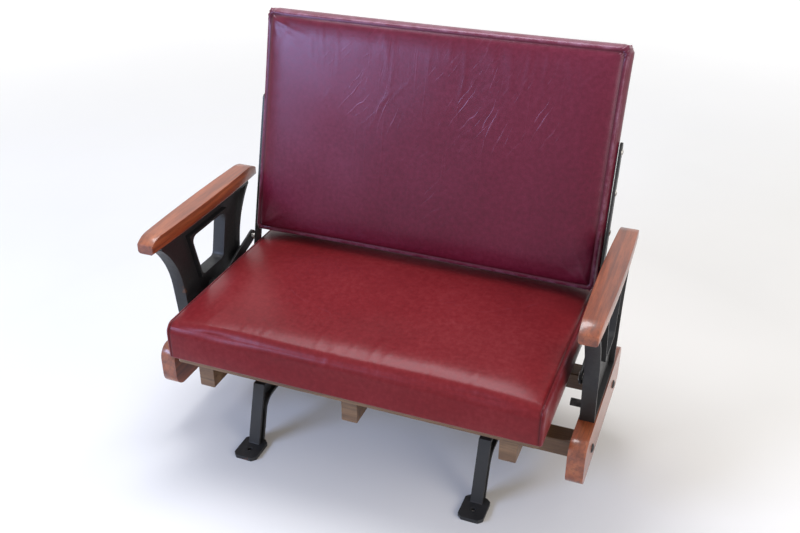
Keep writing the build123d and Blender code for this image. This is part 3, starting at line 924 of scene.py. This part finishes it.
def joined(name, shapes, body, slot, sharpAngle):
    # one piece of several shapes, each shape's point numbers counted on from the last one's
    first = np.cumsum([0] + [len(points) for points, _ in shapes])
    points = np.concatenate([points for points, _ in shapes])
    quads = np.concatenate([quads + start for (_, quads), start in zip(shapes, first)])
    piece = newPiece(name, points, quads, finishes[slot], sharpAngle)
    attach(piece, body)
    return piece


def leverScrews():
    # round heads with a slot, three up each lever, in place of the plain ones
    axes = slopeAxes()
    headHeight = fasteners["slottedHead"][-1][0] * mm
    for end, sign in ends:
        node = end + "_lever_screws"
        low, high, along = nodeSpan(node, axes)
        heights = np.sort(along[:, 1])
        breaks = np.flatnonzero(np.diff(heights) > fasteners["screwGap"])
        lever = high[0] - headHeight if sign > 0 else low[0] + headHeight
        shapes = []
        for group in np.split(heights, breaks + 1):
            place = np.array([lever, (group[0] + group[-1]) / 2, (low[2] + high[2]) / 2])
            shapes.append(turned("slottedHead", place @ axes, (sign, 0, 0), slotHalf=fasteners["slotHalf"],
                                 steps=fasteners["slotSteps"]))
        piece = joined(end + "LeverScrews", shapes, "back", "bare_steel", fasteners["screwSharpAngle"])
        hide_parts(node)


leverScrews()


def frameBolts():
    # square heads on the standards' feet, under the armrests and under the legs' tops,
    # and round coach heads on the sills where the rails are bolted on
    squares = []
    rounds = []
    for end, sign in ends:
        lowStandard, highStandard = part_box(end + "_standard")
        lowSill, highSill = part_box(end + "_side_sill")
        lowLeg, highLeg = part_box(end + "_leg")
        x = (lowStandard.x + highStandard.x) / 2 + sign * fasteners["besideWeb"]
        for y in fasteners["footPlaces"]:
            squares.append(turned("squareHead", (x, y, lowStandard.z + fasteners["flange"]), (0, 0, 1), 4))
        for y in fasteners["armrestPlaces"]:
            squares.append(turned("squareHead", (x, y, highStandard.z - fasteners["flange"]), (0, 0, -1), 4))
        outer = highSill.x if sign > 0 else lowSill.x
        x = (lowLeg.x + highLeg.x) / 2 + sign * fasteners["besideLeg"]
        for rail in ("front_rail", "rear_rail"):
            lowRail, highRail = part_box(rail)
            y = (lowRail.y + highRail.y) / 2
            rounds.append(turned("coachHead", (outer, y, (lowRail.z + highRail.z) / 2), (sign, 0, 0)))
            squares.append(turned("squareHead", (x, y, highLeg.z - fasteners["flange"]), (0, 0, -1), 4))
    joined("frameBolts", squares + rounds, "seat_frame", "black_iron", fasteners["sharpAngle"])


frameBolts()
print("screws and bolts made")


# floor, light and camera

studio = {
    "floorSize": 14.0, "floorColour": (0.80, 0.79, 0.775),
    "floorSockets": {"Roughness": 0.6, "Emission Color": (1, 1, 1, 1)},
    "speck": (1.5, 3), "speckStops": (0.3, 0.7), "speckShade": 0.97,
    "paleFrom": 1.3, "paleTo": 6.0, "paleGlow": 0.85, "worldLight": 0.50,
    # each light's place, target, size, power and colour
    "lights": {
        "windowLight": ((-2.2, -2.5, 1.9), (-0.2, 0.2, 0.8), (1.5, 1.1), 86, (0.48, 0.62, 1.0)),
        "aisleLight": ((2.5, -0.8, 1.5), (0, 0, 0.5), (2.0, 1.3), 33, (1.0, 0.93, 0.86)),
        "ceilingLight": ((-0.5, 0.6, 2.7), (-0.1, 0.2, 0.5), (1.9, 0.9), 54, (0.96, 0.97, 1.0)),
    },
    # the photograph's eye as seen from this seat: to its right, in front and above
    "eye": (0.748, -1.867, 1.63), "eyeTarget": (0.01, 0.03, 0.47), "lens": 43, "sensorWidth": 36,
    "clip": (0.05, 60),
}


def makeFloor():
    # pale, and paler to the camera further out, so that it runs into the white background
    half = studio["floorSize"] / 2
    finish, tree, shader = newFinish("paleFloor", studio["floorSockets"])
    speck = noise(tree, placed(tree), *studio["speck"])
    pale = studio["floorColour"]
    shaded = tuple(studio["speckShade"] * c for c in pale)
    colour = ramp(tree, speck, list(zip(studio["speckStops"], (shaded, pale))))
    tree.links.new(colour, shader.inputs["Base Color"])
    away = vectorMaths(tree, "LENGTH", placed(tree))
    glow = mapRange(tree, away, studio["paleFrom"], studio["paleTo"], toMax=studio["paleGlow"])
    seen = addNode(tree, "LightPath").outputs["Is Camera Ray"]
    tree.links.new(product(tree, glow, seen), shader.inputs["Emission Strength"])
    corners = [(-half, -half, 0), (half, -half, 0), (half, half, 0), (-half, half, 0)]
    floor = newPiece("paleFloor", corners, [(0, 1, 2, 3)], finish)


def makeWorld():
    # the background is white to the camera and in reflections, and gives a softer light
    world = bpy.data.worlds.new("studio")
    scene.world = world
    world.use_nodes = True
    tree = world.node_tree
    shade = tree.nodes["Background"]
    path = addNode(tree, "LightPath")
    seen = maths(tree, "MAXIMUM", path.outputs["Is Camera Ray"],
                 maths(tree, "MAXIMUM", path.outputs["Is Glossy Ray"], path.outputs["Is Transmission Ray"]))
    shade.inputs["Color"].default_value = (1, 1, 1, 1)
    strength = maths(tree, "MULTIPLY_ADD", seen, 1 - studio["worldLight"], studio["worldLight"])
    tree.links.new(strength, shade.inputs["Strength"])


def aimed(name, data, place, target):
    holder = newObject(name, data)
    holder.location = place
    holder.rotation_euler = (Vector(target) - Vector(place)).to_track_quat("-Z", "Y").to_euler()
    return holder


def makeLights():
    for name, (place, target, size, power, colour) in studio["lights"].items():
        lamp = bpy.data.lights.new(name, "AREA")
        lamp.shape = "RECTANGLE"
        lamp.size, lamp.size_y = size
        lamp.energy = power
        lamp.color = colour
        aimed(name, lamp, place, target)


def makeCamera():
    view = bpy.data.cameras.new("view")
    view.lens = studio["lens"]
    view.sensor_width = studio["sensorWidth"]
    view.clip_start, view.clip_end = studio["clip"]
    scene.camera = aimed("view", view, studio["eye"], studio["eyeTarget"])


makeFloor()
makeWorld()
makeLights()
makeCamera()
scene.view_settings.view_transform = "Standard"
print("floor, light and camera set")
